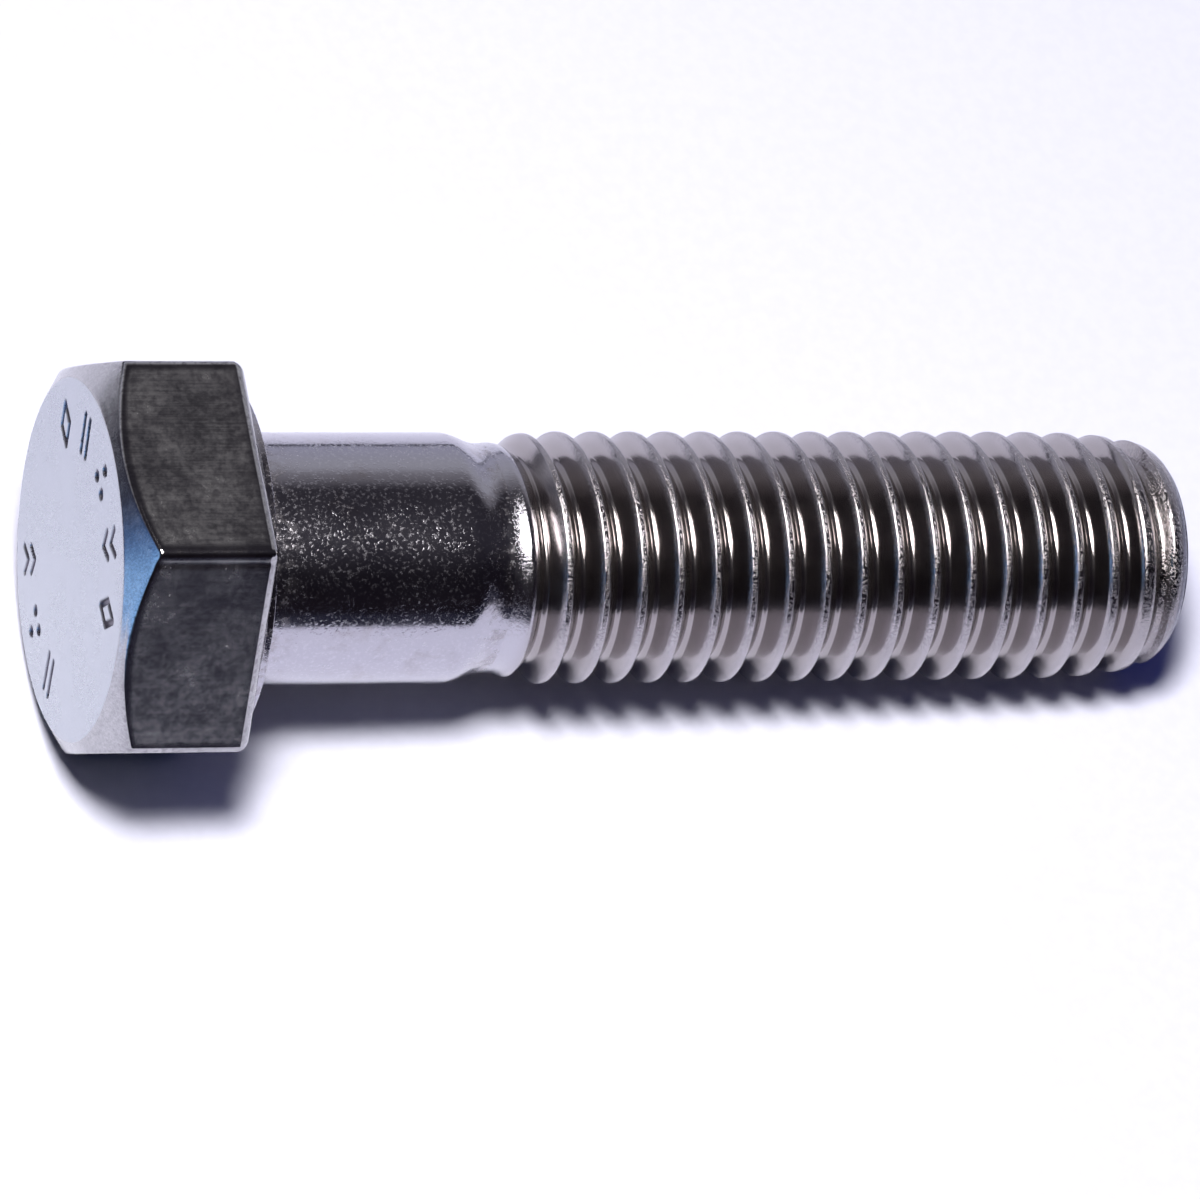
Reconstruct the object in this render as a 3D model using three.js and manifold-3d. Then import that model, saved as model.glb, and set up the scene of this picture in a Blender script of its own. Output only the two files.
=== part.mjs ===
// Hex bolt, 1/2-13 UNC by 2 inches, partly threaded, in stainless steel.
//
// Frame, in millimetres: the origin is the centre of the head's top face, +X runs along the bolt's axis from
// the head to the point, and +Z comes straight out of a wrench flat, so the bolt lies on the opposite flat.
//
// The real bolt is one forging. Its three regions (head, plain shank and thread) are separate solids here.
// They meet face to face on planes square to the axis, where the bolt is a plain cylinder, with nothing
// between them and nothing shared, so together they are exactly that forging.
import * as THREE from "three";
import { mergeVertices } from "three/addons/utils/BufferGeometryUtils.js";
import Module from "manifold-3d";

// Head.
const ACROSS_FLATS = 19.05;
const HEX_HEIGHT = 7.4; // top face to the underside of the hexagon
const CORNER_ROUND = 0.45; // radius of the hexagon's six long edges
const UNDERSIDE_BEVEL = 0.4; // bevel round the underside of the hexagon
const TOP_CIRCLE_RADIUS = 8.95; // where the top chamfer starts
const TOP_CHAMFER_SLOPE = 0.65; // drop of the chamfer for each millimetre outwards
const WASHER_FACE_RADIUS = 9.1;
const WASHER_FACE_HEIGHT = 0.4;
const FILLET_RADIUS = 0.6; // under the head
const HEAD_STUB = 0.4; // cylinder past the fillet that belongs to the head's solid

// Shank.
const BODY_RADIUS = 6.26;
const BODY_LENGTH = 11.2; // bearing face to the end of the full diameter
const NECK_RADIUS = 5.72; // the rolled thread's blank
const NECK_LENGTH = 0.2;
const TAPER_LENGTH = 2.0;

// Thread: 13 turns to the inch, right hand.
const LENGTH_UNDER_HEAD = 50.0;
const PITCH = 25.4 / 13;
const MAJOR_RADIUS = 6.31;
const THREAD_DEPTH = 1.1;
const FLANK_ANGLE = 30; // degrees from a plane square to the axis
const CREST_WIDTH = 0.26;
const CREST_FROM_POINT = 0.69 * PITCH; // point to the nearest crest on the +Y side, less whole turns
const RUN_OUT_LENGTH = 2.6; // neck to the first full crest and root
const RUN_OUT_SINK = 0.3; // how far below the neck's surface the crests start, so that they rise out of it
const CREST_CLEARANCE = 0.02; // between a full crest and the envelope that shapes the thread's two ends
const ROOT_CLEARANCE = 0.05; // between a full root and the core that fills the roots of the run-out
const END_FACE_RADIUS = 4.7;
// The point, where the thread was rolled on a chamfered end: [distance from the end face, greatest radius].
const POINT_PROFILE = [
  [4.9, MAJOR_RADIUS + CREST_CLEARANCE],
  [3.3, 6.09],
  [1.5, 5.79],
  [0.5, 5.33],
  [0, END_FACE_RADIUS],
];

// Stamped marks on the head's top: plain shapes, with no letters or figures.
const MARK_CIRCLE_RADIUS = 6.7;
const MARK_SPACING = 29; // degrees
const MARK_DEPTH = 0.2;
const MARK_STROKE = 0.32;
const DOT_RADIUS = 0.3;
const MARK_SCALE = 1.3; // of the shapes in MARKS

// Fineness of the faceted surfaces.
const TURNED_SIDES = 48;
const THREAD_SIDES = 36;
const FILLET_STEPS = 4;
const TAPER_STEPS = 6;

const BEARING_X = HEX_HEIGHT + WASHER_FACE_HEIGHT;
const HEAD_END_X = BEARING_X + FILLET_RADIUS + HEAD_STUB;
const TAPER_START_X = BEARING_X + BODY_LENGTH;
const NECK_X = TAPER_START_X + TAPER_LENGTH;
const THREAD_X = NECK_X + NECK_LENGTH;
const POINT_X = BEARING_X + LENGTH_UNDER_HEAD;

const wasm = await Module();
wasm.setup();

/** The manifold-3d solid of a closed geometry, turned the right way out. */
function solidOf(geometry) {
  const bare = geometry.clone();
  bare.deleteAttribute("normal");
  bare.deleteAttribute("uv");
  const merged = mergeVertices(bare, 1e-4);
  const corners = merged.index.array;
  const kept = [];
  for (let i = 0; i < corners.length; i += 3) {
    const [a, b, c] = corners.slice(i, i + 3);
    if (a !== b && b !== c && c !== a) kept.push(a, b, c);
  }
  const vertProperties = new Float32Array(merged.attributes.position.array);
  const build = (triVerts) =>
    new wasm.Manifold(new wasm.Mesh({ numProp: 3, vertProperties, triVerts }));
  const solid = build(new Uint32Array(kept));
  return solid.volume() > 0 ? solid : build(new Uint32Array(kept.reverse()));
}

/** A geometry whose local z axis runs along the bolt, and whose local x and y become the bolt's Y and Z. */
function alongBolt(geometry) {
  const turn = new THREE.Matrix4().makeBasis(
    new THREE.Vector3(0, 1, 0),
    new THREE.Vector3(0, 0, 1),
    new THREE.Vector3(1, 0, 0),
  );
  return geometry.applyMatrix4(turn);
}

/** A turned solid about the bolt's axis, from [x, radius] points that start and end on the axis. */
function turned(profile, sides = TURNED_SIDES) {
  const points = profile.map(([x, radius]) => new THREE.Vector2(radius, x));
  const lathe = new THREE.LatheGeometry(points, sides);
  const turn = new THREE.Matrix4().makeBasis(
    new THREE.Vector3(0, 0, 1),
    new THREE.Vector3(1, 0, 0),
    new THREE.Vector3(0, 1, 0),
  );
  return solidOf(lathe.applyMatrix4(turn));
}

/** The hexagon with rounded corners, flats at the top and bottom. */
function hexagonShape() {
  const apothem = ACROSS_FLATS / 2;
  const centre = (apothem - CORNER_ROUND) / Math.cos(Math.PI / 6);
  const shape = new THREE.Shape();
  for (let corner = 0; corner < 6; corner++) {
    const angle = (corner * Math.PI) / 3;
    shape.absarc(
      centre * Math.cos(angle),
      centre * Math.sin(angle),
      CORNER_ROUND,
      angle - Math.PI / 6,
      angle + Math.PI / 6,
      false,
    );
  }
  return shape;
}

/** The hexagonal block, bevelled round its underside and chamfered to a circle on top. */
function hexagonBlock() {
  const spare = 1; // stands past the top face until the chamfer cuts it off
  const block = new THREE.ExtrudeGeometry(hexagonShape(), {
    depth: HEX_HEIGHT + spare - 2 * UNDERSIDE_BEVEL,
    curveSegments: 3,
    bevelThickness: UNDERSIDE_BEVEL,
    bevelSize: UNDERSIDE_BEVEL,
    bevelOffset: -UNDERSIDE_BEVEL,
    bevelSegments: 2,
  });
  block.translate(0, 0, UNDERSIDE_BEVEL - spare);
  const outside = ACROSS_FLATS * 0.6;
  const chamfer = turned([
    [0, 0],
    [0, TOP_CIRCLE_RADIUS],
    [(outside - TOP_CIRCLE_RADIUS) * TOP_CHAMFER_SLOPE, outside],
    [HEX_HEIGHT + spare, outside],
    [HEX_HEIGHT + spare, 0],
  ]);
  return solidOf(alongBolt(block)).intersect(chamfer);
}

/** The washer face, the fillet under the head and the first stretch of the shank. */
function underHead() {
  const inside = 1; // reaches up into the hexagon
  const profile = [
    [HEX_HEIGHT - inside, 0],
    [HEX_HEIGHT - inside, WASHER_FACE_RADIUS],
    [BEARING_X, WASHER_FACE_RADIUS],
  ];
  for (let i = 0; i <= FILLET_STEPS; i++) {
    const angle = (i / FILLET_STEPS) * (Math.PI / 2);
    profile.push([
      BEARING_X + FILLET_RADIUS * (1 - Math.cos(angle)),
      BODY_RADIUS + FILLET_RADIUS * (1 - Math.sin(angle)),
    ]);
  }
  profile.push([HEAD_END_X, BODY_RADIUS], [HEAD_END_X, 0]);
  return turned(profile);
}

/** The cutter for one straight stroke of a mark, between two points of the top face. */
function strokeCutter([y0, z0], [y1, z1]) {
  const length = Math.hypot(y1 - y0, z1 - z0) + MARK_STROKE;
  const stroke = new THREE.BoxGeometry(length, MARK_STROKE, 2 * MARK_DEPTH);
  stroke.rotateZ(Math.atan2(z1 - z0, y1 - y0));
  stroke.translate((y0 + y1) / 2, (z0 + z1) / 2, 0);
  return solidOf(alongBolt(stroke));
}

/** The cutter for one dot of a mark. */
function dotCutter([y, z]) {
  const dot = new THREE.CylinderGeometry(DOT_RADIUS, DOT_RADIUS, 2 * MARK_DEPTH, 8);
  dot.rotateX(Math.PI / 2);
  dot.translate(y, z, 0);
  return solidOf(alongBolt(dot));
}

// Each mark, with y across it and z outwards from the centre of the face: open or closed runs of strokes,
// or dots.
const MARKS = {
  diamond: { runs: [[[0, 0.8], [0.5, 0], [0, -0.8], [-0.5, 0], [0, 0.8]]], dots: [] },
  tally: { runs: [[[-0.3, -0.75], [-0.3, 0.75]], [[0.3, -0.75], [0.3, 0.75]]], dots: [] },
  chevrons: {
    runs: [[[-0.5, 0.7], [0, 0.2], [0.5, 0.7]], [[-0.5, -0.2], [0, -0.7], [0.5, -0.2]]],
    dots: [],
  },
  dots: { runs: [], dots: [[0, 0.55], [0.42, -0.35], [-0.42, -0.35]] },
};

// Two groups of marks near the rim. The first mark's angle is measured from +Y towards +Z.
const MARK_GROUPS = [
  { start: 28, names: ["diamond", "tally", "dots", "chevrons", "diamond"] },
  { start: -116, names: ["tally", "dots", "chevrons"] },
];

/** All the strokes and dots of the marks, as cutters. */
function markCutters() {
  const cutters = [];
  for (const { start, names } of MARK_GROUPS) {
    names.forEach((name, i) => {
      const angle = THREE.MathUtils.degToRad(start + i * MARK_SPACING);
      const place = (point) => {
        const [across, outwards] = point.map((value) => value * MARK_SCALE);
        const radius = MARK_CIRCLE_RADIUS + outwards;
        return [
          radius * Math.cos(angle) + across * Math.sin(angle),
          radius * Math.sin(angle) - across * Math.cos(angle),
        ];
      };
      for (const run of MARKS[name].runs) {
        const points = run.map(place);
        points.slice(1).forEach((point, k) => cutters.push(strokeCutter(points[k], point)));
      }
      MARKS[name].dots.forEach((dot) => cutters.push(dotCutter(place(dot))));
    });
  }
  return cutters;
}

function headSolid() {
  const marks = markCutters().reduce((all, cutter) => all.add(cutter));
  return hexagonBlock().add(underHead()).subtract(marks);
}

/** The plain body, easing down in an S curve to the neck. */
function shankSolid() {
  const profile = [
    [HEAD_END_X, 0],
    [HEAD_END_X, BODY_RADIUS],
  ];
  for (let i = 0; i <= TAPER_STEPS; i++) {
    const share = i / TAPER_STEPS;
    const drop = (1 - Math.cos(share * Math.PI)) / 2;
    profile.push([
      TAPER_START_X + share * TAPER_LENGTH,
      BODY_RADIUS + drop * (NECK_RADIUS - BODY_RADIUS),
    ]);
  }
  profile.push([THREAD_X, NECK_RADIUS], [THREAD_X, 0]);
  return turned(profile);
}

/** A rod with an endless right-hand thread, longer than the bolt's thread at both ends. */
function threadedRod() {
  const flank = THREAD_DEPTH * Math.tan(THREE.MathUtils.degToRad(FLANK_ANGLE));
  const root = MAJOR_RADIUS - THREAD_DEPTH;
  // One turn of the thread's outline, from the middle of a crest.
  const outline = [
    [-CREST_WIDTH / 2, MAJOR_RADIUS],
    [CREST_WIDTH / 2, MAJOR_RADIUS],
    [CREST_WIDTH / 2 + flank, root],
    [PITCH - CREST_WIDTH / 2 - flank, root],
  ];
  const turns = Math.ceil((POINT_X - THREAD_X) / PITCH) + 3;
  const firstCrest = POINT_X - CREST_FROM_POINT - (turns - 2) * PITCH;
  const rows = turns * outline.length;
  const positions = [];
  const triangles = [];
  // A vertex for each row of the outline and each step round the rod. A full step round lands on the next
  // turn's row, which is what makes it a screw.
  const vertexAt = (row, side) =>
    side < THREAD_SIDES
      ? row * THREAD_SIDES + side
      : (row + outline.length) * THREAD_SIDES + side - THREAD_SIDES;
  for (let row = 0; row < rows + outline.length; row++) {
    const [offset, radius] = outline[row % outline.length];
    const turn = Math.floor(row / outline.length);
    for (let side = 0; side < THREAD_SIDES; side++) {
      const share = side / THREAD_SIDES;
      const angle = share * 2 * Math.PI;
      positions.push(
        firstCrest + (turn + share) * PITCH + offset,
        radius * Math.cos(angle),
        radius * Math.sin(angle),
      );
    }
  }
  for (let row = 0; row < rows - 1; row++) {
    for (let side = 0; side < THREAD_SIDES; side++) {
      const near = [vertexAt(row, side), vertexAt(row, side + 1)];
      const far = [vertexAt(row + 1, side), vertexAt(row + 1, side + 1)];
      triangles.push(near[0], far[0], near[1], near[1], far[0], far[1]);
    }
  }
  // Each end is a fan from a point on the axis to the rod's edge, which climbs one pitch round the rod and
  // comes back down the outline.
  const closeEnd = (row, atPoint) => {
    const edge = [];
    for (let side = 0; side < THREAD_SIDES; side++) edge.push(vertexAt(row, side));
    for (let k = outline.length; k > 0; k--) edge.push(vertexAt(row + k, 0));
    const hub = positions.length / 3;
    positions.push(positions[3 * vertexAt(row, 0)] + PITCH / 2, 0, 0);
    edge.forEach((vertex, k) => {
      const next = edge[(k + 1) % edge.length];
      triangles.push(...(atPoint ? [hub, next, vertex] : [hub, vertex, next]));
    });
  };
  closeEnd(0, false);
  closeEnd(rows - 1, true);
  const geometry = new THREE.BufferGeometry();
  geometry.setAttribute("position", new THREE.Float32BufferAttribute(positions, 3));
  geometry.setIndex(triangles);
  return solidOf(geometry);
}

/** The thread: the rod cut to its run-out and point, on a core that fills the roots of the run-out. */
function threadSolid() {
  const envelope = turned(
    [
      [THREAD_X, 0],
      [THREAD_X, NECK_RADIUS - RUN_OUT_SINK],
      [THREAD_X + RUN_OUT_LENGTH, MAJOR_RADIUS + CREST_CLEARANCE],
      ...POINT_PROFILE.map(([fromEnd, radius]) => [POINT_X - fromEnd, radius]),
      [POINT_X, 0],
    ],
    THREAD_SIDES,
  );
  const rootX = THREAD_X + RUN_OUT_LENGTH;
  const core = turned(
    [
      [THREAD_X, 0],
      [THREAD_X, NECK_RADIUS],
      [THREAD_X + NECK_LENGTH, NECK_RADIUS],
      [rootX, MAJOR_RADIUS - THREAD_DEPTH - ROOT_CLEARANCE],
      [rootX, 0],
    ],
    THREAD_SIDES,
  );
  return threadedRod().intersect(envelope).add(core);
}

const bolt = new THREE.Group();

/** Adds a solid to the bolt as a named mesh with its own material. */
function addPiece(name, solid, color, roughness) {
  const { vertProperties, triVerts } = solid.getMesh();
  const geometry = new THREE.BufferGeometry();
  geometry.setAttribute("position", new THREE.BufferAttribute(vertProperties, 3));
  geometry.setIndex(new THREE.BufferAttribute(triVerts, 1));
  const material = new THREE.MeshStandardMaterial({
    color,
    roughness,
    metalness: 1,
    flatShading: true,
  });
  const mesh = new THREE.Mesh(geometry, material);
  mesh.name = name;
  bolt.add(mesh);
}

addPiece("head", headSolid(), 0xb9b9c2, 0.38);
addPiece("shank", shankSolid(), 0xaeaeb4, 0.3);
addPiece("thread", threadSolid(), 0xb4b0ae, 0.16);

export default bolt;
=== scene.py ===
import math

import bmesh
import bpy
import numpy as np
from mathutils import Matrix, Vector


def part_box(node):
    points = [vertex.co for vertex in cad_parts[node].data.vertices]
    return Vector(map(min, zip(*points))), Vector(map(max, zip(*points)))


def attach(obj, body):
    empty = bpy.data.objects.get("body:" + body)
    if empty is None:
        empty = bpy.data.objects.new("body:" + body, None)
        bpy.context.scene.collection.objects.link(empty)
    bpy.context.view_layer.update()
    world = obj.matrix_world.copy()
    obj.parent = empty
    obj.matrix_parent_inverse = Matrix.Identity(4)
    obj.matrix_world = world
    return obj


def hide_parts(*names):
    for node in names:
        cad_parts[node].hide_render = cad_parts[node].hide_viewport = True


# The looks of a stainless hex bolt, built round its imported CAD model. The bolt's axis is +X, from the
# head's top face at the origin to the point, and +Z comes straight out of a wrench flat. Lengths are in
# metres.
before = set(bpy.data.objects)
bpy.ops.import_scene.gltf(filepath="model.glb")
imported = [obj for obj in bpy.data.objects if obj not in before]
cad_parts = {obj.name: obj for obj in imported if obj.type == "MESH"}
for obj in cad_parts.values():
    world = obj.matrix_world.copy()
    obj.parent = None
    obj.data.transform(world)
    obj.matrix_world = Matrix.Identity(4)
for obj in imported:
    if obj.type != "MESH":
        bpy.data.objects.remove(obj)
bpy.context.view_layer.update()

MM = 0.001

head_low, head_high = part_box("head")
shank_low, shank_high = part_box("shank")
thread_low, thread_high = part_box("thread")

# Head.
ACROSS_FLATS = head_high.z - head_low.z
HEAD_END = head_high.x
HEX_HEIGHT = 7.4 * MM
CORNER_ROUND = 0.45 * MM
TOP_CIRCLE_RADIUS = 8.95 * MM
TOP_CHAMFER_SLOPE = 0.65
UNDERSIDE_BEVEL = 0.4 * MM
WASHER_FACE_RADIUS = 9.1 * MM
WASHER_FACE_HEIGHT = 0.4 * MM
FILLET_RADIUS = 0.6 * MM
WASHER_EDGE_ROUND = 0.08 * MM
FOOT_ROUND = 0.06 * MM  # in the corner where the washer face rises from the hexagon
EDGE_ROUND = 0.14 * MM
EDGE_LEAN = 0.35 * EDGE_ROUND  # how far a flat has drawn in where its lower bevel starts
HOLLOW_FROM_CORNER = 0.5 * MM  # the shallow hollow beside every other corner of the hexagon
HOLLOW_WIDTH = 0.17 * MM
HOLLOW_DEPTH = 0.026 * MM
TOP_CROWN = 0.03 * MM  # how far the top face falls from its centre to its rim
BEARING_X = HEX_HEIGHT + WASHER_FACE_HEIGHT

# Shank.
BODY_RADIUS = shank_high.y
SHANK_START = shank_low.x
SHANK_END = shank_high.x
NECK_RADIUS = 5.72 * MM
NECK_LENGTH = 0.2 * MM
TAPER_LENGTH = 2.0 * MM
TAPER_START = SHANK_END - NECK_LENGTH - TAPER_LENGTH

# Thread.
THREAD_START = thread_low.x
POINT_X = thread_high.x
MAJOR_RADIUS = thread_high.y
PITCH = 25.4 / 13 * MM
CREST_FROM_POINT = 0.69 * PITCH  # from the last crest on the +Y side to the end face
CREST_WIDTH = 0.26 * MM
CREST_ROUND = 0.12 * MM
ROOT_ROUND = 0.34 * MM
FLANK_ANGLE = math.radians(30)
CREST_RUN_OUT = 3.0 * MM  # over this length the crests rise from the neck
ROOT_DELAY = 0.6 * MM
ROOT_RUN_OUT = 1.2 * MM  # and over this one, after the delay, the roots sink
POINT_LENGTH = 4.9 * MM  # over this length the crests fall towards the end
POINT_LIFT = 0.05 * MM  # how far the point's envelope starts outside the crests
POINT_BLEND = 0.12 * MM  # how softly the thread meets that envelope
SLOPE_DROP = 0.85 * MM  # the envelope's long slope
SLOPE_LENGTH = 2.6 * MM
NOSE_DROP = 0.76 * MM  # and its short, steep nose
NOSE_LENGTH = 0.45 * MM
END_FACE_RADIUS = 4.7 * MM
END_ROUND = 0.1 * MM  # depth of the rounded rim of the end face

# Rubbed edges of the hexagon, by how far the rubbing reaches.
CORNER_RUB = 0.42 * MM
RIM_RUB = 0.2 * MM
FOOT_RUB = 0.14 * MM

# Wear and painted shade on the thread.
CREST_WEAR = 0.8
CREST_WEAR_DEPTH = 0.16 * MM  # how far down from a crest its wear reaches
CREST_WEAR_BLEND = 0.12 * MM
TORN_LENGTH = 2.1 * MM  # of the last turns, which are torn all over and painted with shade
DARK_RIM_LENGTH = 0.8 * MM  # of the dark edge round the end face
START_WEAR = 0.35  # where the thread has only started
START_LENGTH = 1.8 * MM
START_BLEND = 1.2 * MM
GROOVE_DEPTH = 0.7 * MM  # from here down a groove has its darkest painted shade

# Stamped marks on the head's top.
MARK_CIRCLE_RADIUS = 6.7 * MM
MARK_SPACING = math.radians(29)
MARK_SCALE = 1.3
MARK_DEPTH = 0.16 * MM
MARK_STROKE = 0.16 * MM  # half the width of a stroke
MARK_WALL = 0.12 * MM  # width of a stroke's sloping wall
DOT_RADIUS = 0.3 * MM

SIDES = 192  # round the shank and the thread

BOLT_MIDDLE = Vector((28 * MM, 0, 0))  # what the lights and the ring of cards stand round
FLOOR_REACH = 0.6  # from the middle of the floor to its sides


# ---------------------------------------------------------------- camera


def place_camera():
    """A long lens that looks down from the head's near side, rolled until the bolt's axis is level."""
    azimuth, elevation, roll = (math.radians(a) for a in (-35.47, 53.38, 29.37))
    distance = 0.4513
    aim = Vector((27.76 * MM, 0, 0))
    aim_drop = 2.14 * MM
    back = Vector(
        (
            math.sin(azimuth) * math.cos(elevation),
            -math.cos(azimuth) * math.cos(elevation),
            math.sin(elevation),
        )
    )
    level = Vector((math.cos(azimuth), math.sin(azimuth), 0))
    upright = back.cross(level)
    right = level * math.cos(roll) + upright * math.sin(roll)
    up = upright * math.cos(roll) - level * math.sin(roll)
    place = aim - up * aim_drop + back * distance
    data = bpy.data.cameras.new("camera")
    data.sensor_width = 36
    data.lens = 270.4
    data.clip_start = 0.01
    data.clip_end = 20
    camera = bpy.data.objects.new("camera", data)
    turn = Matrix((right, up, back)).transposed().to_4x4()
    camera.matrix_world = Matrix.Translation(place) @ turn
    bpy.context.scene.collection.objects.link(camera)
    bpy.context.scene.camera = camera


# ---------------------------------------------------------------- mesh helpers


def link_mesh(name, vertices, faces):
    """A linked object from vertices and faces."""
    mesh = bpy.data.meshes.new(name)
    mesh.from_pydata(vertices, [], faces)
    mesh.validate()
    return link_object(name, mesh)


def link_object(name, mesh, sharp_angle=35):
    """A linked object, shaded smooth except across edges that are sharper than an angle in degrees."""
    mesh.shade_smooth()
    mesh.set_sharp_from_angle(angle=math.radians(sharp_angle))
    piece = bpy.data.objects.new(name, mesh)
    bpy.context.scene.collection.objects.link(piece)
    return piece


def closed_rings(name, rings, sides):
    """A closed mesh from (x, radius, angle) rings, with a fan at each end whose centre is on the axis."""
    vertices = []
    for x, radius, angle in rings:
        x = np.broadcast_to(x, angle.shape)
        radius = np.broadcast_to(radius, angle.shape)
        vertices.append(np.stack([x, radius * np.cos(angle), radius * np.sin(angle)], axis=1))
    points = np.concatenate(vertices)
    first_hub = len(points)
    hubs = [[float(points[0, 0]), 0, 0], [float(points[-1, 0]), 0, 0]]
    faces = []
    for ring in range(len(rings) - 1):
        here = ring * sides
        ahead = here + sides
        for j in range(sides):
            k = (j + 1) % sides
            faces.append((here + j, here + k, ahead + k, ahead + j))
    last = (len(rings) - 1) * sides
    for j in range(sides):
        k = (j + 1) % sides
        faces.append((first_hub, k, j))
        faces.append((first_hub + 1, last + j, last + k))
    return link_mesh(name, points.tolist() + hubs, faces)


def smooth_step(value):
    value = np.clip(value, 0, 1)
    return value * value * (3 - 2 * value)


def arc(centre_x, centre_r, radius, start, end, steps):
    """Points of an arc in the (x, radius) plane, with angles in degrees from +x."""
    angles = np.radians(np.linspace(start, end, steps + 1))
    return [(centre_x + radius * math.cos(a), centre_r + radius * math.sin(a)) for a in angles]


# ---------------------------------------------------------------- head


def hexagon_angles():
    """Angles round the head: close together at the six rounded corners, even along the flats."""
    corner_half = math.radians(8)
    corner = np.linspace(-corner_half, corner_half, 60, endpoint=False)
    flat = np.linspace(corner_half, math.pi / 3 - corner_half, 88, endpoint=False)
    sector = np.concatenate([corner, flat])
    return np.concatenate([sector + k * math.pi / 3 for k in range(6)])


def hexagon_radius(angle):
    """Distance from the axis to the rounded hexagon, whose corners point along +Y and -Y."""
    apothem = ACROSS_FLATS / 2
    from_corner = (angle + math.pi / 6) % (math.pi / 3) - math.pi / 6
    flat = apothem / np.cos(math.pi / 6 - np.abs(from_corner))
    centre = (apothem - CORNER_ROUND) / math.cos(math.pi / 6)
    across = centre * np.sin(from_corner)
    inside = np.clip(CORNER_ROUND**2 - across**2, 0, None)
    corner = centre * np.cos(from_corner) + np.sqrt(inside)
    arc_end = centre + CORNER_ROUND * math.cos(math.pi / 6)
    arc_angle = math.atan2(CORNER_ROUND * math.sin(math.pi / 6), arc_end)
    radius = np.where(np.abs(from_corner) < arc_angle, corner, flat)
    # The forging dies leave a shallow hollow beside every other corner, where they part.
    beside = (from_corner * radius - HOLLOW_FROM_CORNER) / HOLLOW_WIDTH
    at_parting = np.round(angle / (math.pi / 3)) % 2 == 0
    return radius - at_parting * HOLLOW_DEPTH * np.exp(-beside * beside)


def mark_shapes():
    """The generic marks, as (strokes, dots) in mm, with x across a mark and y outwards."""
    diamond = [(0, 0.8), (0.5, 0), (0, -0.8), (-0.5, 0), (0, 0.8)]
    tally = [[(-0.3, -0.75), (-0.3, 0.75)], [(0.3, -0.75), (0.3, 0.75)]]
    chevrons = [[(-0.5, 0.7), (0, 0.2), (0.5, 0.7)], [(-0.5, -0.2), (0, -0.7), (0.5, -0.2)]]
    dots = [(0, 0.55), (0.42, -0.35), (-0.42, -0.35)]
    return {
        "diamond": ([diamond], []),
        "tally": (tally, []),
        "chevrons": (chevrons, []),
        "dots": ([], dots),
    }


def mark_depth(y, z):
    """How deep the stamped marks are at points of the top face."""
    shapes = mark_shapes()
    # Each group is the angle of its first mark and the names of its marks in turn.
    groups = [
        (math.radians(28), ["diamond", "tally", "dots", "chevrons", "diamond"]),
        (math.radians(-116), ["tally", "dots", "chevrons"]),
    ]
    share = np.zeros_like(y)
    for start, names in groups:
        for i, name in enumerate(names):
            angle = start + i * MARK_SPACING
            outwards = (y * math.cos(angle) + z * math.sin(angle) - MARK_CIRCLE_RADIUS) / MARK_SCALE
            across = (y * math.sin(angle) - z * math.cos(angle)) / MARK_SCALE
            runs, dots = shapes[name]
            for run in runs:
                for begin, end in zip(run, run[1:]):
                    away = distance_to_stroke(across, outwards, begin, end)
                    share = np.maximum(share, wall_share(away * MARK_SCALE - MARK_STROKE))
            for dot in dots:
                away = np.hypot(across - dot[0] * MM, outwards - dot[1] * MM)
                share = np.maximum(share, wall_share(away * MARK_SCALE - DOT_RADIUS))
    return share * MARK_DEPTH


def distance_to_stroke(across, outwards, begin, end):
    """Distance from points of the top face to a stroke's centre line."""
    bx, by = begin[0] * MM, begin[1] * MM
    dx, dy = end[0] * MM - bx, end[1] * MM - by
    along = ((across - bx) * dx + (outwards - by) * dy) / (dx * dx + dy * dy)
    along = np.clip(along, 0, 1)
    return np.hypot(across - bx - along * dx, outwards - by - along * dy)


def wall_share(outside):
    """1 on the floor of a mark, 0 on the face round it, and a smooth slope between them."""
    return smooth_step(0.5 - outside / MARK_WALL)


def chamfer_x(radius):
    """Depth of the head's top chamfer at a radius, with its start rounded into the top face."""
    soft = 0.05 * MM
    out = radius - TOP_CIRCLE_RADIUS
    return TOP_CHAMFER_SLOPE * (out + np.sqrt(out * out + soft * soft)) / 2


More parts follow.
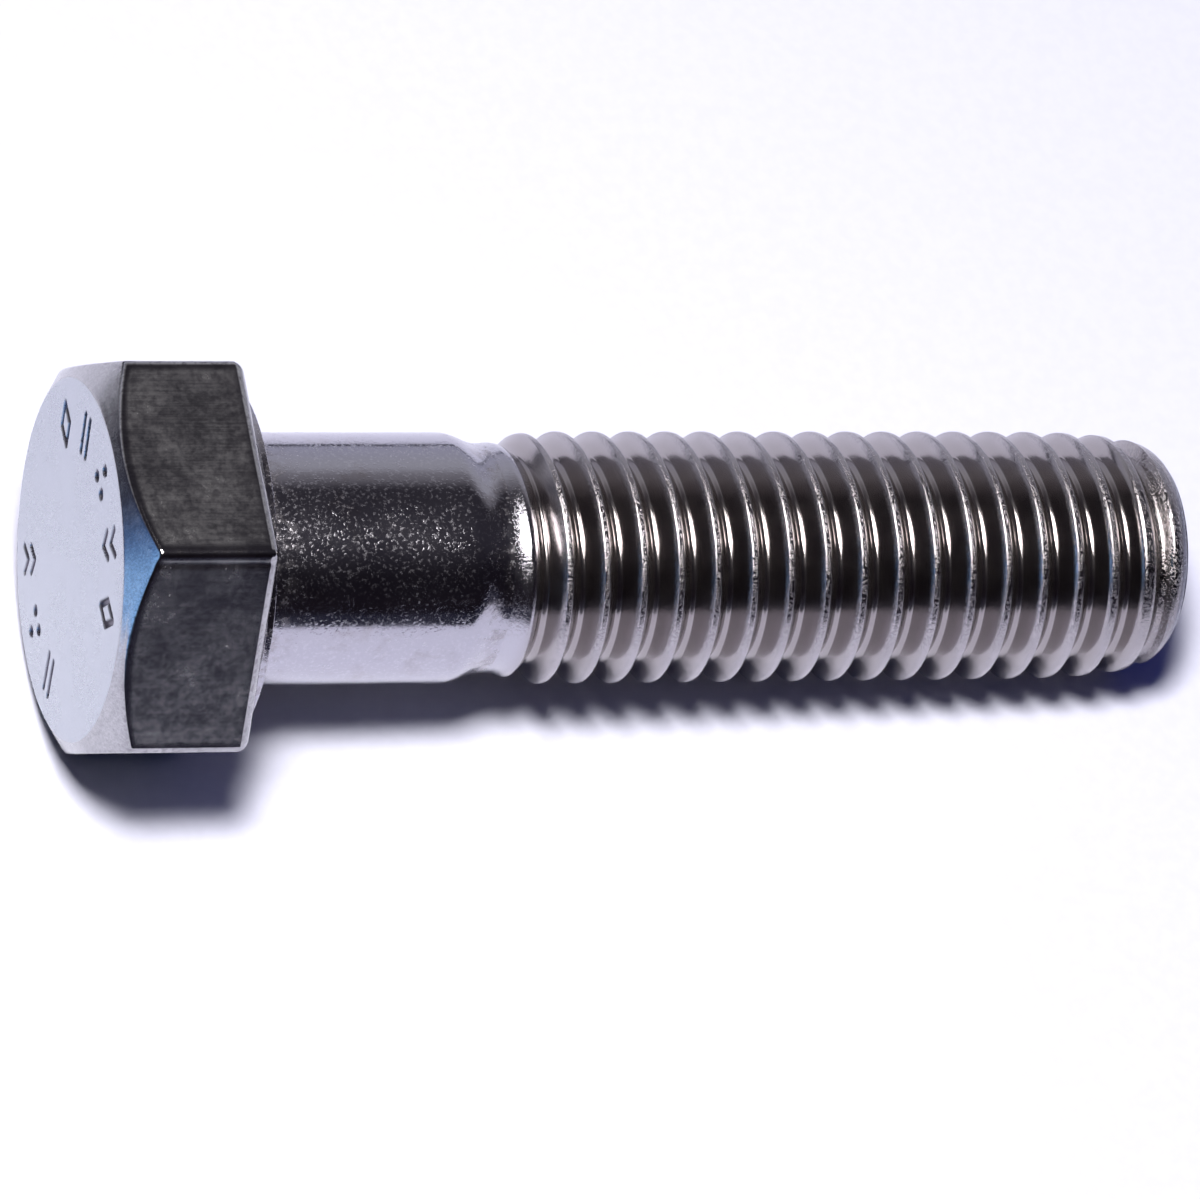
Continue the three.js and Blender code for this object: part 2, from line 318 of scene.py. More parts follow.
def head_rings(angle):
    """(x, radius, angle) rings of the head, from the middle of its top to the end of its short shank."""
    hexagon = hexagon_radius(angle)
    rings = []

    def add(x, radius):
        rings.append((x + np.zeros_like(angle), radius + np.zeros_like(angle), angle))

    top_radii = np.concatenate(
        [
            np.linspace(0.4, 5.4, 12, endpoint=False),
            np.linspace(5.4, 8.0, 80, endpoint=False),
            np.linspace(8.0, 8.6, 5, endpoint=False),
            np.linspace(8.6, 9.3, 15),
        ]
    )
    # The radii are closest together under the marks, and again where the chamfer starts.
    for radius in top_radii * MM:
        crown = TOP_CROWN * (radius / TOP_CIRCLE_RADIUS) ** 2
        marks = mark_depth(radius * np.cos(angle), radius * np.sin(angle))
        add(crown + chamfer_x(radius) + marks, radius)
    # The chamfer runs out to the hexagon, whose rim is nearer the axis at the flats than at the corners.
    inner = top_radii[-1] * MM
    rim = hexagon - EDGE_ROUND
    for share in np.linspace(0, 1, 13)[1:]:
        radius = inner + share * (rim - inner)
        add(TOP_CROWN + chamfer_x(radius), radius)
    rim_x = TOP_CROWN + chamfer_x(rim)
    edge_x = TOP_CROWN + chamfer_x(hexagon)
    for share in np.linspace(0, 1, 7)[1:]:
        start, middle, end = (1 - share) ** 2, 2 * share * (1 - share), share**2
        x = start * rim_x + middle * edge_x + end * (edge_x + EDGE_ROUND)
        add(x, start * rim + (middle + end) * hexagon)
    flat_start = edge_x + EDGE_ROUND
    flat_end = HEX_HEIGHT - UNDERSIDE_BEVEL - EDGE_ROUND
    for share in np.linspace(0, 1, 25)[1:]:
        add(flat_start + share * (flat_end - flat_start), hexagon)
    # The underside's bevel, rounded at both its edges.
    foot = WASHER_FACE_RADIUS + FOOT_ROUND
    least = foot + 0.01 * MM
    for share in np.linspace(0, 1, 5)[1:]:
        add(flat_end + EDGE_ROUND * share, hexagon - EDGE_LEAN * share**2)
    for share in np.linspace(0, 1, 9)[1:]:
        turn = share * math.pi / 2
        blend = 0.5 * share + 0.5 * math.sin(turn)
        drop = 0.5 * share + 0.5 * (1 - math.cos(turn))
        x = HEX_HEIGHT - UNDERSIDE_BEVEL + UNDERSIDE_BEVEL * blend
        add(x, np.maximum(hexagon - EDGE_LEAN - UNDERSIDE_BEVEL * drop, least))
    last = rings[-1][1]
    for share in (0.5, 1.0):
        add(HEX_HEIGHT, last + share * (foot - last))
    for x, radius in under_head_profile():
        add(x, radius)
    return rings


def under_head_profile():
    """(x, radius) points from the washer face's foot to the end of the head's short shank."""
    points = arc(HEX_HEIGHT + FOOT_ROUND, WASHER_FACE_RADIUS + FOOT_ROUND, FOOT_ROUND, 180, 270, 3)[1:]
    rim_x = BEARING_X - WASHER_EDGE_ROUND
    rim_radius = WASHER_FACE_RADIUS - WASHER_EDGE_ROUND
    points += [(rim_x, WASHER_FACE_RADIUS)]
    points += arc(rim_x, rim_radius, WASHER_EDGE_ROUND, 90, 0, 4)[1:]
    fillet_top = BODY_RADIUS + FILLET_RADIUS
    for share in np.linspace(0, 1, 9)[1:-1]:
        points.append((BEARING_X, rim_radius + share * (fillet_top - rim_radius)))
    points += arc(BEARING_X + FILLET_RADIUS, fillet_top, FILLET_RADIUS, 180, 270, 12)
    points += [(HEAD_END - 0.2 * MM, BODY_RADIUS), (HEAD_END, BODY_RADIUS)]
    return points


def make_head():
    angle = hexagon_angles()
    return closed_rings("bolt_head", head_rings(angle), len(angle))


# ---------------------------------------------------------------- shank


def shank_radius(x):
    """Radius of the plain body, which eases down to the neck in an S curve."""
    share = np.clip((x - TAPER_START) / TAPER_LENGTH, 0, 1)
    drop = (1 - np.cos(share * math.pi)) / 2
    return BODY_RADIUS + drop * (NECK_RADIUS - BODY_RADIUS)


def make_shank():
    angle = np.arange(SIDES) * 2 * math.pi / SIDES
    xs = np.concatenate(
        [
            np.linspace(SHANK_START, TAPER_START, 40, endpoint=False),
            np.linspace(TAPER_START, SHANK_END, 34),
        ]
    )
    return closed_rings("bolt_shank", [(x, shank_radius(x), angle) for x in xs], SIDES)


# ---------------------------------------------------------------- thread


def thread_outline():
    """One turn of the thread, with rounded corners, as (distance from the crest's middle, radius)."""
    half = CREST_WIDTH / 2
    slope = 1 / math.tan(FLANK_ANGLE)
    # The crest's corner is an arc that turns through the flank's steepness.
    turn = math.pi / 2 - FLANK_ANGLE
    setback = CREST_ROUND * math.tan(turn / 2)
    centre = (half - setback, MAJOR_RADIUS - CREST_ROUND)
    points = [(0.0, MAJOR_RADIUS)]
    for share in np.linspace(0, 1, 6):
        a = share * turn
        points.append((centre[0] + CREST_ROUND * math.sin(a), centre[1] + CREST_ROUND * math.cos(a)))
    # The root is an arc between the two flanks, whose lines would meet half a pitch from the crest.
    meet = MAJOR_RADIUS - (PITCH / 2 - half) * slope
    root_centre = meet + ROOT_ROUND / math.sin(FLANK_ANGLE)
    root = []
    for share in np.linspace(0, 1, 6):
        a = turn * (1 - share)
        root.append((PITCH / 2 - ROOT_ROUND * math.sin(a), root_centre - ROOT_ROUND * math.cos(a)))
    crest_end = points[-1]
    for share in (0.33, 0.67):
        points.append(
            (
                crest_end[0] + share * (root[0][0] - crest_end[0]),
                crest_end[1] + share * (root[0][1] - crest_end[1]),
            )
        )
    points += root
    mirrored = [(PITCH - u, radius) for u, radius in points[1:-1]]
    return points + mirrored[::-1]


def point_envelope(x):
    """Greatest radius towards the bolt's point, where the thread was rolled on a chamfered end."""
    from_end = np.clip(POINT_X - x, 0, None)
    slope = SLOPE_DROP * np.exp(-from_end / SLOPE_LENGTH)
    nose = NOSE_DROP * np.exp(-from_end / NOSE_LENGTH)
    return MAJOR_RADIUS + POINT_LIFT - slope - nose


def softer_least(a, b, softness):
    """The lesser of a and b, with the corner between them rounded."""
    gap = np.clip(0.5 + 0.5 * (b - a) / softness, 0, 1)
    return b + (a - b) * gap - softness * gap * (1 - gap)


def thread_points():
    """Vertices of a rod with a right-hand thread, longer than the bolt's, and the rows in one turn."""
    outline = thread_outline()
    rows_in_turn = len(outline)
    turns = math.ceil((POINT_X - THREAD_START) / PITCH) + 3
    first_crest = POINT_X - CREST_FROM_POINT - (turns - 2) * PITCH
    offsets = np.array([p[0] for p in outline])
    radii = np.array([p[1] for p in outline])
    turn = np.arange(SIDES) / SIDES
    crests = first_crest + PITCH * (np.arange(turns + 1)[:, None, None] + turn[None, None, :])
    x = (crests + offsets[None, :, None]).reshape(-1, SIDES)
    radius = np.broadcast_to(radii[None, :, None], (turns + 1, rows_in_turn, SIDES)).reshape(-1, SIDES)
    crest_share = smooth_step((x - THREAD_START) / CREST_RUN_OUT)
    root_share = smooth_step((x - THREAD_START - ROOT_DELAY) / ROOT_RUN_OUT)
    run_out = np.where(radius > NECK_RADIUS, crest_share, root_share)
    radius = NECK_RADIUS + run_out * (radius - NECK_RADIUS)
    radius = softer_least(radius, point_envelope(x), POINT_BLEND)
    angle = turn[None, :] * 2 * math.pi + np.zeros_like(x)
    return np.stack([x, radius * np.cos(angle), radius * np.sin(angle)], axis=2), rows_in_turn


def make_thread():
    points, rows_in_turn = thread_points()
    rows = points.shape[0] - rows_in_turn
    faces = []
    for row in range(rows - 1):
        for j in range(SIDES - 1):
            here = row * SIDES + j
            faces.append((here, here + 1, here + 1 + SIDES, here + SIDES))
        # A full turn lands on the same row of the next turn.
        here = row * SIDES + SIDES - 1
        over = (row + rows_in_turn) * SIDES
        faces.append((here, over, over + SIDES, here + SIDES))
    build = bmesh.new()
    vertices = [build.verts.new(p) for p in points.reshape(-1, 3)]
    for face in faces:
        build.faces.new([vertices[k] for k in face])
    loose = [v for v in build.verts if not v.link_faces]
    bmesh.ops.delete(build, geom=loose, context="VERTS")
    cut_end(build, THREAD_START, towards=-1)
    cut_end(build, POINT_X - END_ROUND, towards=1)
    cap_start(build)
    cap_point(build)
    bmesh.ops.recalc_face_normals(build, faces=build.faces)
    mesh = bpy.data.meshes.new("bolt_thread")
    build.to_mesh(mesh)
    build.free()
    return link_object("bolt_thread", mesh, sharp_angle=50)


def cut_end(build, x, towards):
    """Cuts the rod square at x and drops what lies beyond, on the side that towards (1 or -1) says."""
    everything = build.verts[:] + build.edges[:] + build.faces[:]
    bmesh.ops.bisect_plane(
        build,
        geom=everything,
        dist=1e-7,
        plane_co=(x, 0, 0),
        plane_no=(towards, 0, 0),
        clear_outer=True,
    )


def open_edges(build, x):
    """The edges of the open end at x."""
    near = 1e-6
    return [
        e
        for e in build.edges
        if len(e.link_faces) == 1 and all(abs(v.co.x - x) < near for v in e.verts)
    ]


def cap_start(build):
    bmesh.ops.contextual_create(build, geom=open_edges(build, THREAD_START))


def cap_point(build):
    """Rounds the rim of the end face and closes it with rings that shrink to the axis."""
    edges = open_edges(build, POINT_X - END_ROUND)
    rim = float(point_envelope(POINT_X - END_ROUND))
    steps = [
        (POINT_X - END_ROUND * (1 - math.sin(t)), rim - (rim - END_FACE_RADIUS) * (1 - math.cos(t)))
        for t in np.linspace(0, math.pi / 2, 6)[1:]
    ]
    steps += [(POINT_X, END_FACE_RADIUS * share) for share in (0.97, 0.85, 0.6, 0.35, 0.12)]
    for x, radius in steps:
        made = bmesh.ops.extrude_edge_only(build, edges=edges)
        verts = [g for g in made["geom"] if isinstance(g, bmesh.types.BMVert)]
        for v in verts:
            scale = radius / math.hypot(v.co.y, v.co.z)
            v.co = (x, v.co.y * scale, v.co.z * scale)
        ring = set(verts)
        edges = [
            g
            for g in made["geom"]
            if isinstance(g, bmesh.types.BMEdge) and g.verts[0] in ring and g.verts[1] in ring
        ]
    bmesh.ops.contextual_create(build, geom=edges)


# ---------------------------------------------------------------- materials


class Shader:
    """A material's node tree, with short calls for the nodes that the steels share."""

    def __init__(self, name, metallic=1.0):
        self.material = bpy.data.materials.new(name)
        self.material.use_nodes = True
        self.tree = self.material.node_tree
        self.principled = self.tree.nodes["Principled BSDF"]
        self.principled.inputs["Metallic"].default_value = metallic
        coordinates = self.tree.nodes.new("ShaderNodeTexCoord")
        # Object coordinates in millimetres.
        self.place = self.scaled(coordinates.outputs["Object"], (1 / MM, 1 / MM, 1 / MM))

    def link(self, output, socket):
        self.tree.links.new(output, socket)

    def scaled(self, vector, scale):
        node = self.tree.nodes.new("ShaderNodeVectorMath")
        node.operation = "MULTIPLY"
        self.link(vector, node.inputs[0])
        node.inputs[1].default_value = scale
        return node.outputs[0]

    def noise(self, scale, detail=3.0, roughness=0.5, vector=None, distortion=0.0):
        node = self.tree.nodes.new("ShaderNodeTexNoise")
        self.link(vector or self.place, node.inputs["Vector"])
        node.inputs["Scale"].default_value = scale
        node.inputs["Detail"].default_value = detail
        node.inputs["Roughness"].default_value = roughness
        node.inputs["Distortion"].default_value = distortion
        return node.outputs["Fac"]

    def along_axis(self):
        """Distance from the head's top along the bolt, in mm."""
        node = self.tree.nodes.new("ShaderNodeSeparateXYZ")
        self.link(self.place, node.inputs[0])
        return node.outputs["X"]

    def attribute(self, name):
        node = self.tree.nodes.new("ShaderNodeAttribute")
        node.attribute_name = name
        return node.outputs["Fac"]

    def spread(self, value, low, high, to_low=0.0, to_high=1.0):
        """Maps low..high of a value onto to_low..to_high, clamped, with soft ends."""
        node = self.tree.nodes.new("ShaderNodeMapRange")
        node.interpolation_type = "SMOOTHSTEP"
        self.link(value, node.inputs["Value"])
        node.inputs["From Min"].default_value = low
        node.inputs["From Max"].default_value = high
        node.inputs["To Min"].default_value = to_low
        node.inputs["To Max"].default_value = to_high
        return node.outputs["Result"]

    def maths(self, operation, a, b):
        node = self.tree.nodes.new("ShaderNodeMath")
        node.operation = operation
        for socket, value in zip(node.inputs, (a, b)):
            if isinstance(value, (int, float)):
                socket.default_value = value
            else:
                self.link(value, socket)
        return node.outputs[0]

    def mix(self, share, a, b):
        """A colour between a and b. Either may be a colour or another node's output."""
        node = self.tree.nodes.new("ShaderNodeMix")
        node.data_type = "RGBA"
        self.link(share, node.inputs["Factor"])
        for socket, colour in ((node.inputs[6], a), (node.inputs[7], b)):
            if isinstance(colour, tuple):
                socket.default_value = (*colour, 1)
            else:
                self.link(colour, socket)
        return node.outputs[2]

    def bump(self, heights):
        """Chains bumps, given as (height, depth in mm) pairs, into the normal."""
        normal = None
        for height, depth in heights:
            node = self.tree.nodes.new("ShaderNodeBump")
            node.inputs["Strength"].default_value = 1.0
            node.inputs["Distance"].default_value = depth * MM
            self.link(height, node.inputs["Height"])
            if normal:
                self.link(normal, node.inputs["Normal"])
            normal = node.outputs["Normal"]
        self.link(normal, self.principled.inputs["Normal"])

    def finish(self, colour, roughness):
        self.link(colour, self.principled.inputs["Base Color"])
        self.link(roughness, self.principled.inputs["Roughness"])
        return self.material


def top_steel():
    """The head's top: even satin, with faint clouds, a fine grain and painted shade in the stamped marks.
    """
    s = Shader("head_top_satin")
    clouds = s.noise(0.35, detail=5)
    grain = s.noise(9.0, detail=4, roughness=0.6)
    dirt_and_shade = s.attribute("dirt_and_shade")
    colour = s.mix(s.spread(clouds, 0.35, 0.7), (0.445, 0.465, 0.49), (0.495, 0.515, 0.54))
    # Painted shade: the stamped marks are coloured dark, as if shade filled them.
    colour = s.mix(s.spread(dirt_and_shade, 0.0, 0.6), colour, (0.11, 0.1, 0.12))
    satin = s.spread(clouds, 0.3, 0.7, 0.26, 0.34)
    roughness = s.maths("ADD", satin, s.spread(grain, 0.3, 0.7, -0.04, 0.04))
    s.bump([(grain, 0.002), (clouds, 0.02)])
    return s.finish(colour, roughness)


def flat_steel():
    """The wrench flats: drawn steel, with fine lines along the axis, clouds, pits and rubbed edges."""
    s = Shader("head_flat_drawn")
    along = s.scaled(s.place, (0.2, 9.0, 9.0))
    lines = s.noise(1.0, detail=6, roughness=0.65, vector=along)
    clouds = s.noise(0.45, detail=7, roughness=0.6)
    swell = s.noise(0.6, detail=1)
    pits = s.noise(3.0, detail=5, roughness=0.7)
    tone = s.maths("ADD", s.maths("MULTIPLY", lines, 0.4), s.maths("MULTIPLY", clouds, 0.3))
    tone = s.maths("ADD", tone, s.maths("MULTIPLY", pits, 0.3))
    colour = s.mix(s.spread(tone, 0.4, 0.6), (0.36, 0.355, 0.36), (0.52, 0.515, 0.51))
    drawn = s.spread(clouds, 0.35, 0.65, 0.2, 0.25)
    roughness = s.maths("ADD", drawn, s.spread(pits, 0.35, 0.65, -0.02, 0.03))
    polish = s.attribute("polish")
    dirt_and_shade = s.maths("MULTIPLY", polish, s.spread(pits, 0.46, 0.6))
    colour = s.mix(dirt_and_shade, colour, (0.28, 0.27, 0.28))
    roughness = s.maths("SUBTRACT", roughness, s.maths("MULTIPLY", polish, 0.13))
    s.bump([(lines, 0.001), (pits, 0.0008), (swell, 0.012)])
    return s.finish(colour, roughness)


def shank_steel():
    """The plain shank: smooth, with spots that catch the light, darker stains and scale at its ends."""
    s = Shader("shank_smooth")
    clouds = s.noise(0.4, detail=5)
    pits = s.noise(5.4, detail=2, roughness=0.7)
    stains = s.noise(0.7, detail=6, roughness=0.6, distortion=0.4)
    spots = s.spread(pits, 0.5, 0.68)
    colour = s.mix(spots, (0.46, 0.45, 0.49), (0.53, 0.52, 0.56))
    colour = s.mix(s.spread(stains, 0.52, 0.74, 0.0, 0.45), colour, (0.34, 0.31, 0.31))
    # Scale left by rolling, at the neck and close under the head.
    patches = s.spread(s.noise(1.5, detail=5, roughness=0.65), 0.45, 0.62)
    ends = s.maths("ADD", s.spread(s.along_axis(), 19.2, 20.9), s.spread(s.along_axis(), 10.6, 8.8))
    scale = s.maths("MULTIPLY", patches, ends)
    colour = s.mix(scale, colour, (0.39, 0.37, 0.39))
    roughness = s.maths("ADD", s.spread(clouds, 0.3, 0.7, 0.1, 0.14), s.maths("MULTIPLY", spots, 0.14))
    roughness = s.maths("ADD", roughness, s.maths("MULTIPLY", scale, 0.14))
    crowds = s.spread(s.noise(0.9, detail=2), 0.36, 0.62, 0.3, 1.35)
    s.bump([(s.maths("MULTIPLY", spots, crowds), 0.0029), (scale, 0.002), (clouds, 0.01)])
    return s.finish(colour, roughness)


def thread_steel():
    """The rolled thread: polished flanks and roots, with torn steel along the crests and at the point,
    painted shade in the grooves and over the point, and a dark band round the end face.
    """
    s = Shader("thread_polished")
    clouds = s.noise(0.6, detail=4)
    torn = s.noise(6.5, detail=4, roughness=0.7)
    fine = s.noise(3.0, detail=3)
    wear_and_shade = s.attribute("wear_and_shade")
    chips = s.maths("MULTIPLY", s.spread(torn, 0.47, 0.62), wear_and_shade)
    colour = s.mix(s.spread(clouds, 0.35, 0.65), (0.4, 0.376, 0.382), (0.46, 0.434, 0.44))
    # Painted shade in the grooves, darker and warmer towards the roots.
    colour = s.mix(s.attribute("groove_shade"), colour, (0.35, 0.322, 0.317))
    colour = s.mix(s.attribute("plain"), colour, (0.49, 0.48, 0.52))
    colour = s.mix(chips, colour, (0.46, 0.44, 0.46))
    # Painted shade over the last turns of the point.
    colour = s.mix(s.spread(wear_and_shade, 0.82, 1.0, 0.0, 0.3), colour, (0.2, 0.19, 0.22))
    # A dark band round the edge of the end face.
    colour = s.mix(s.spread(wear_and_shade, 1.6, 1.95), colour, (0.1, 0.1, 0.14))
    roughness = s.maths("ADD", s.spread(clouds, 0.35, 0.65, 0.15, 0.19), s.maths("MULTIPLY", chips, 0.06))
    s.bump([(chips, 0.009), (fine, 0.003)])
    return s.finish(colour, roughness)


def paper():
    """The sheet that the bolt lies on: plain white paper with a very faint tooth."""
    s = Shader("white_paper", metallic=0.0)
    tooth = s.noise(1.5, detail=5)
    colour = s.mix(s.spread(tooth, 0.3, 0.7), (0.54, 0.54, 0.55), (0.56, 0.56, 0.57))
    roughness = s.spread(tooth, 0.3, 0.7, 0.85, 0.95)
    s.bump([(tooth, 0.004)])
    return s.finish(colour, roughness)


# ---------------------------------------------------------------- stage and light


def place_floor():
    """A sheet under the bolt, which lies on its head's lower edge and on the thread near its point."""
    head_contact = Vector((HEX_HEIGHT - UNDERSIDE_BEVEL, 0, head_low.z))
    thread_contact = Vector((POINT_X - POINT_LENGTH, 0, -MAJOR_RADIUS))
    slope = (thread_contact - head_contact).normalized()
    middle = (head_contact + thread_contact) / 2
    along = slope * FLOOR_REACH
    side = Vector((0, 1, 0)) * FLOOR_REACH
    corners = [middle + along * a + side * b for a, b in ((-1, -1), (1, -1), (1, 1), (-1, 1))]
    mesh = bpy.data.meshes.new("floor")
    mesh.from_pydata([tuple(c) for c in corners], [], [(0, 1, 2, 3)])
    floor = bpy.data.objects.new("floor", mesh)
    bpy.context.scene.collection.objects.link(floor)
    mesh.materials.append(paper())


def area_light(name, place, size, power, colour):
    """A rectangular lamp aimed at the middle of the bolt."""
    data = bpy.data.lights.new(name, "AREA")
    data.shape = "RECTANGLE"
    data.size, data.size_y = size
    data.energy = power
    data.color = colour
    light = bpy.data.objects.new(name, data)
    light.location = place
    light.rotation_euler = (BOLT_MIDDLE - place).to_track_quat("-Z", "Y").to_euler()
    light.visible_camera = False
    bpy.context.scene.collection.objects.link(light)
    return light


def place_lights():
    """A soft lamp above the head's near side, its diffuser as the steel sees it, and a dim blue fill."""
    lamp_lean = Vector((-0.32, -0.145, 0.94)).normalized()
    key = area_light(
        "key",
        place=BOLT_MIDDLE + lamp_lean * 0.45,
        size=(0.09, 0.09),
        power=4.15,
        colour=(0.97, 0.96, 1.08),
    )
    key.visible_glossy = False
    # What the steel mirrors of the lamp is its diffuser, which is wider than the bright middle.
    diffuser_lean = Vector((-0.32, -0.13, 0.94)).normalized()
    diffuser = area_light(
        "diffuser",
        place=BOLT_MIDDLE + diffuser_lean * 0.24,
        size=(0.15, 0.15),
        power=1.3,
        colour=(1.0, 0.97, 0.97),
    )
    diffuser.visible_diffuse = False
    # Dim blue light from the whole room, which fills the shadows.
    fill = area_light(
        "fill",
        place=BOLT_MIDDLE + Vector((0, 0, 0.4)),
        size=(0.6, 0.6),
        power=0.16,
        colour=(0.08, 0.18, 2.4),
    )
    fill.visible_glossy = False


def surroundings(tree, direction):
    """Colour of the surroundings by direction: dim, but pale on the far side and blue at the head's end."""
    nodes, links = tree.nodes, tree.links

    def maths(operation, a, b=0.0, c=0.0):
        node = nodes.new("ShaderNodeMath")
        node.operation = operation
        for socket, value in zip(node.inputs, (a, b, c)):
            if isinstance(value, (int, float)):
                socket.default_value = value
            else:
                links.new(value, socket)
        return node.outputs[0]

    def ramp(share, stops):
        node = nodes.new("ShaderNodeValToRGB")
        node.color_ramp.interpolation = "EASE"
        links.new(share, node.inputs["Fac"])
        elements = node.color_ramp.elements
        while len(elements) < len(stops):
            elements.new(0.5)
        for element, (position, colour) in zip(elements, stops):
            element.position = position
            element.color = (*colour, 1)
        return node.outputs["Color"]

    split = nodes.new("ShaderNodeSeparateXYZ")
    links.new(direction, split.inputs[0])
    x, y, z = split.outputs
    # Across the bolt, from 0 at the near horizon (-Y) over the top to 1 at the far one.
    across = maths("ARCTAN2", z, maths("MULTIPLY", y, -1.0))
    share = maths("DIVIDE", across, math.pi)
    over = ramp(
        share,
        [
            (0.0, (0.034, 0.034, 0.055)),
            (0.06, (0.013, 0.01, 0.015)),
            (0.2, (0.011, 0.009, 0.014)),
            (0.45, (0.04, 0.037, 0.05)),
            (0.685, (0.04, 0.037, 0.048)),
            (0.775, (0.26, 0.25, 0.28)),
            (0.84, (0.5, 0.5, 0.56)),
            (1.0, (0.5, 0.5, 0.62)),
        ],
    )
    # Round the head's end, from the near side to the far side.
    spread = maths("MULTIPLY_ADD", y, 0.7, 0.5)
    end = ramp(
        spread,
        [
            (0.15, (0.12, 0.18, 0.3)),
            (0.255, (0.4, 0.77, 1.42)),
            (0.455, (0.4, 0.77, 1.42)),
            (0.515, (0.16, 0.33, 0.75)),
            (0.56, (0.065, 0.105, 0.25)),
            (0.64, (0.05, 0.055, 0.09)),
            (0.83, (0.09, 0.09, 0.12)),
            (0.93, (0.42, 0.42, 0.48)),
        ],
    )
    # The head's end fades in where a direction points mostly along -X, and out again towards the top.
    height = maths("SUBTRACT", 1.0, maths("MULTIPLY", z, 2.6))
    low = maths("MAXIMUM", maths("MINIMUM", height, 1.0), 0.0)
    at_end = maths("MULTIPLY_ADD", x, -4.0, -2.6)
    at_end = maths("MULTIPLY", maths("MAXIMUM", maths("MINIMUM", at_end, 1.0), 0.0), low)
    mix = nodes.new("ShaderNodeMix")
    mix.data_type = "RGBA"
    links.new(at_end, mix.inputs["Factor"])
    links.new(over, mix.inputs[6])
    links.new(end, mix.inputs[7])
    return mix.outputs[2]


def place_world():
    world = bpy.data.worlds.new("world")
    bpy.context.scene.world = world
    world.use_nodes = True
    tree = world.node_tree
    coordinates = tree.nodes.new("ShaderNodeTexCoord")
    colour = surroundings(tree, coordinates.outputs["Generated"])
    tree.links.new(colour, tree.nodes["Background"].inputs["Color"])
    world.cycles_visibility.diffuse = False


def place_cards():
    """A low ring of cards, seen only in the steel, that ends the floor's reflection near the bolt."""
    reach_x, reach_y = 78 * MM, 95 * MM
    low, high = -30 * MM, 12 * MM
    sides = 48
    vertices = []
    for z in (low, high):
        for k in range(sides):
            a = 2 * math.pi * k / sides
            vertices.append((reach_x * math.cos(a), reach_y * math.sin(a), z))
    faces = [(k, (k + 1) % sides, sides + (k + 1) % sides, sides + k) for k in range(sides)]
    mesh = bpy.data.meshes.new("cards")
    mesh.from_pydata(vertices, [], faces)
    cards = bpy.data.objects.new("cards", mesh)
    cards.location = BOLT_MIDDLE
    bpy.context.scene.collection.objects.link(cards)
    material = bpy.data.materials.new("cards")
    material.use_nodes = True
    tree = material.node_tree
    tree.nodes.remove(tree.nodes["Principled BSDF"])
    coordinates = tree.nodes.new("ShaderNodeTexCoord")
    flat = tree.nodes.new("ShaderNodeVectorMath")
    flat.operation = "MULTIPLY"
    tree.links.new(coordinates.outputs["Object"], flat.inputs[0])
    flat.inputs[1].default_value = (1, 1, 0)
    unit = tree.nodes.new("ShaderNodeVectorMath")
    unit.operation = "NORMALIZE"
    tree.links.new(flat.outputs[0], unit.inputs[0])
    glow = tree.nodes.new("ShaderNodeEmission")
    tree.links.new(surroundings(tree, unit.outputs[0]), glow.inputs["Color"])
    tree.links.new(glow.outputs[0], tree.nodes["Material Output"].inputs["Surface"])
    mesh.materials.append(material)
    cards.visible_camera = False
    cards.visible_diffuse = False
    cards.visible_shadow = False
    cards.visible_transmission = False


# ---------------------------------------------------------------- assembly


def mark_points(piece, name, values):
    """Keeps one value for each vertex, for a material to read by its name."""
    attribute = piece.data.attributes.new(name, "FLOAT", "POINT")
    attribute.data.foreach_set("value", values.astype(np.float32))


def rubbed(away, reach):
    """1 on an edge, falling to 0 past a reach from it."""
    return np.exp(-((away / reach) ** 4))


def mark_wear_and_shade(rod):
    """Marks where the thread is worn, where its point gets painted shade, where it has only started, and
    how deep each point lies, for the painted shade in the grooves.
    """
    places = np.array([v.co for v in rod.data.vertices])
    x = places[:, 0]
    radius = np.hypot(places[:, 1], places[:, 2])
    # Where the point's slope has cut the crests off, the envelope's blend leaves them just inside it.
    reach = np.minimum(MAJOR_RADIUS, point_envelope(x) - 0.02 * MM)
    crest = CREST_WEAR * smooth_step((radius - reach + CREST_WEAR_DEPTH) / CREST_WEAR_BLEND)
    from_end = POINT_X - x
    # The edge round the end face is coloured dark, but the end face inside it isn't.
    edge = smooth_step((radius / END_FACE_RADIUS - 0.9) / 0.1)
    # The last turns, torn all over, where the point also gets painted shade.
    torn = rubbed(from_end, TORN_LENGTH)
    dark_rim = edge * rubbed(from_end, DARK_RIM_LENGTH)
    plain = smooth_step((THREAD_START + START_LENGTH - x) / START_BLEND)
    mark_points(rod, "plain", plain)
    # Wear, which also masks the painted shade at the point.
    mark_points(rod, "wear_and_shade", np.maximum(np.maximum(crest, START_WEAR * plain), torn + dark_rim))
    # How far down a groove each point lies, for the painted shade in the grooves.
    mark_points(rod, "groove_shade", smooth_step((MAJOR_RADIUS - radius) / GROOVE_DEPTH))


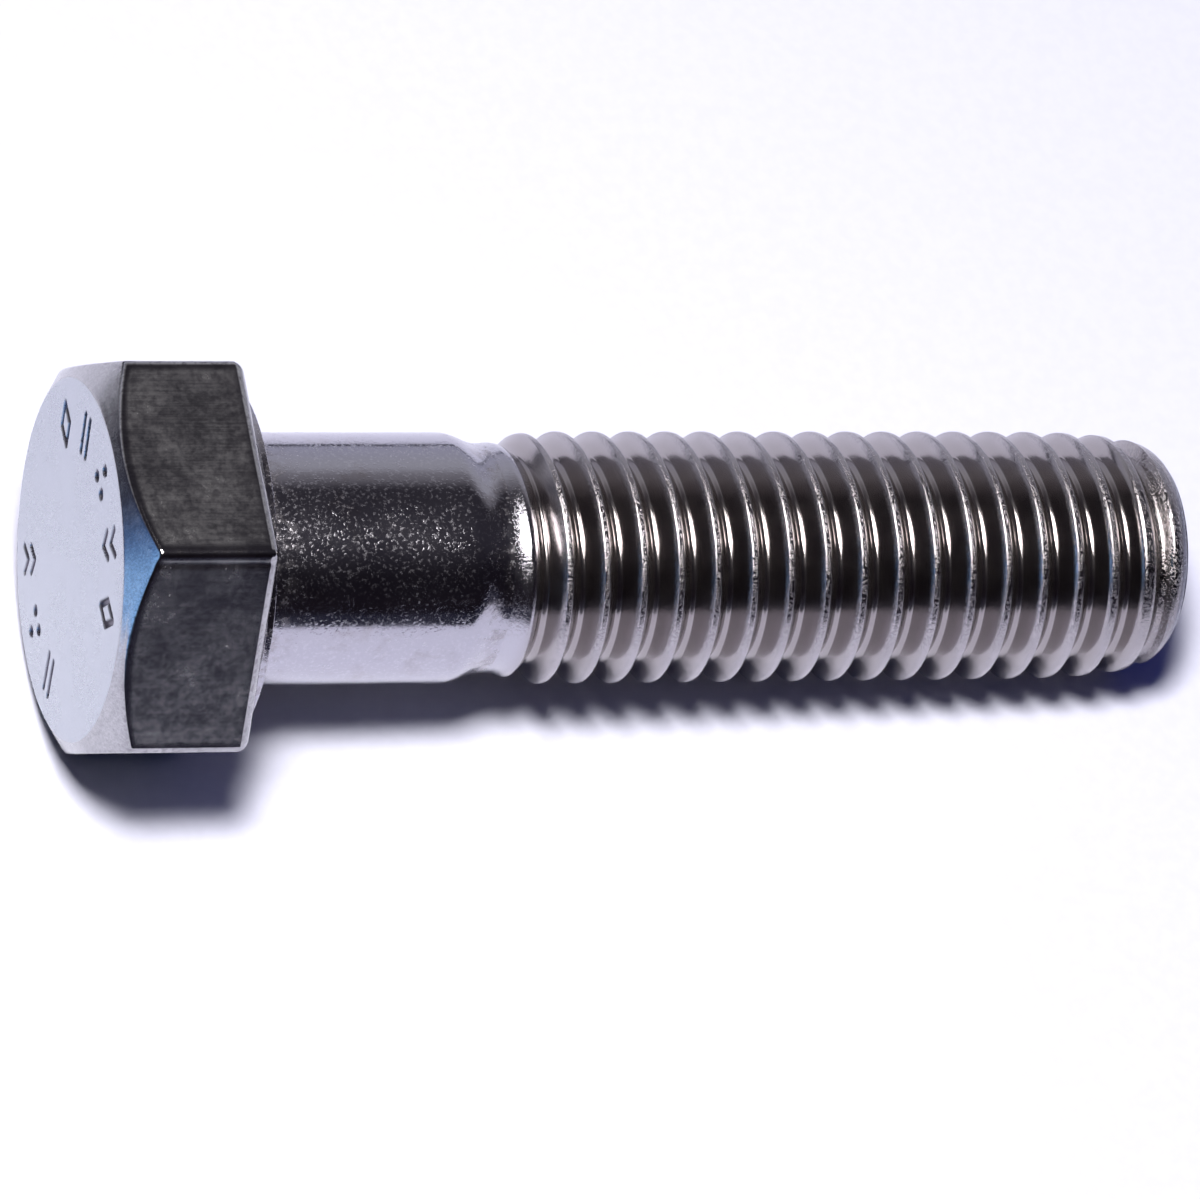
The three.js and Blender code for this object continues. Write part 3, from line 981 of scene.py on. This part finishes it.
def edge_polish(places):
    """1 along the hexagon's rubbed edges, and 0 on its faces."""
    x, y, z = places.T
    angle = np.arctan2(z, y)
    from_corner = np.abs((angle + math.pi / 6) % (math.pi / 3) - math.pi / 6)
    radius = np.hypot(y, z)
    hexagon = hexagon_radius(angle)
    rim_x = TOP_CROWN + chamfer_x(hexagon) + 0.4 * EDGE_ROUND
    foot_x = HEX_HEIGHT - UNDERSIDE_BEVEL
    corner = rubbed(from_corner * radius, CORNER_RUB)
    rim = rubbed(x - rim_x, RIM_RUB)
    foot = rubbed(x - foot_x, FOOT_RUB)
    outside = radius > hexagon - 0.5 * MM
    return np.where(outside, np.maximum(np.maximum(corner, rim), foot), 0)


def dress_head(head, turned_finish):
    """Gives the hexagon, the top face and the turned stretch under the hexagon their own finishes."""
    for finish in (flat_steel(), top_steel(), turned_finish):
        head.data.materials.append(finish)
    top_slot, turned_slot = 1, 2
    places = np.array([v.co for v in head.data.vertices])
    on_top = places[:, 0] < 1.0 * MM
    # How deep the marks are, for the painted shade in them.
    depth = mark_depth(places[:, 1], places[:, 2]) / MARK_DEPTH
    mark_points(head, "dirt_and_shade", np.where(on_top, depth, 0))
    mark_points(head, "polish", edge_polish(places))
    top_depth = chamfer_x(TOP_CIRCLE_RADIUS) + MARK_DEPTH + TOP_CROWN
    for face in head.data.polygons:
        x, y, z = face.center
        if x < top_depth and math.hypot(y, z) < TOP_CIRCLE_RADIUS:
            face.material_index = top_slot
        elif x > HEX_HEIGHT + 0.01 * MM:
            face.material_index = turned_slot


place_camera()
place_floor()
place_lights()
place_world()
place_cards()
bpy.context.scene.view_settings.view_transform = "Standard"

turned_finish = shank_steel()
bolt_head = make_head()
dress_head(bolt_head, turned_finish)
bolt_shank = make_shank()
bolt_shank.data.materials.append(turned_finish)
bolt_thread = make_thread()
bolt_thread.data.materials.append(thread_steel())
mark_wear_and_shade(bolt_thread)

for piece, node, slot in (
    (bolt_head, "head", "head_steel"),
    (bolt_shank, "shank", "shank_steel"),
    (bolt_thread, "thread", "thread_steel"),
):
    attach(piece, "root")
    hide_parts(node)
